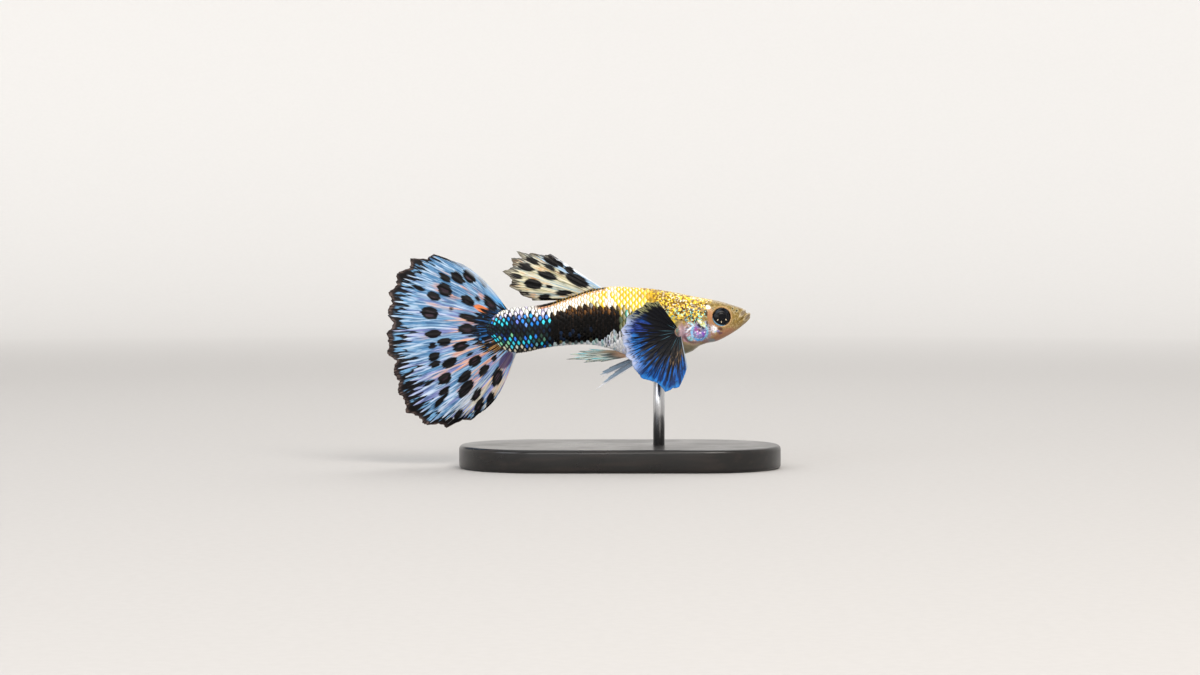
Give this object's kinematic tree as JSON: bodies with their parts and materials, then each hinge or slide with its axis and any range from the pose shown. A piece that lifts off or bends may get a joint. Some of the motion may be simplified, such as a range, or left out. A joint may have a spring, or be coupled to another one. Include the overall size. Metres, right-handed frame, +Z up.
{
  "type": "fancy guppy, still model on a display stand",
  "caption": "Life-size male fancy guppy swimming level with its fins spread, in parts from snout to tail fin, held by a short rod on a flat base.",
  "frame": {"origin": "centre of the stand base's underside", "axes": "+X the way the fish faces, +Z up, +Y to the fish's left"},
  "size_m": [0.0518, 0.022, 0.0284],
  "materials": {
    "snout_skin": "moist olive-gold skin",
    "flank_skin": "yellow, white and brown-black scales",
    "stalk_skin": "metallic blue and silver scales",
    "gill_skin": "iridescent plate",
    "eye": "clear and wet over black",
    "tail_membrane": "pale blue with black spots",
    "dorsal_membrane": "cream with black spots",
    "pectoral_membrane": "royal blue and black, pale at the rear edge",
    "clear_membrane": "translucent grey-white",
    "base_lacquer": "black lacquer, satin",
    "rod_steel": "fine satin"
  },
  "bodies": {
    "root": {"head": "snout_skin", "lower_jaw": "snout_skin", "eye_left": "eye", "eye_right": "eye", "gill_cover_left": "gill_skin", "gill_cover_right": "gill_skin", "trunk": "flank_skin", "tail_stalk": "stalk_skin", "caudal_fin": "tail_membrane", "dorsal_fin": "dorsal_membrane", "anal_fin": "clear_membrane", "pelvic_fin_left": "clear_membrane", "pelvic_fin_right": "clear_membrane", "pectoral_fin_left": "pectoral_membrane", "pectoral_fin_right": "pectoral_membrane", "stand_base": "base_lacquer", "stand_rod": "rod_steel"}
  },
  "joints": []
}
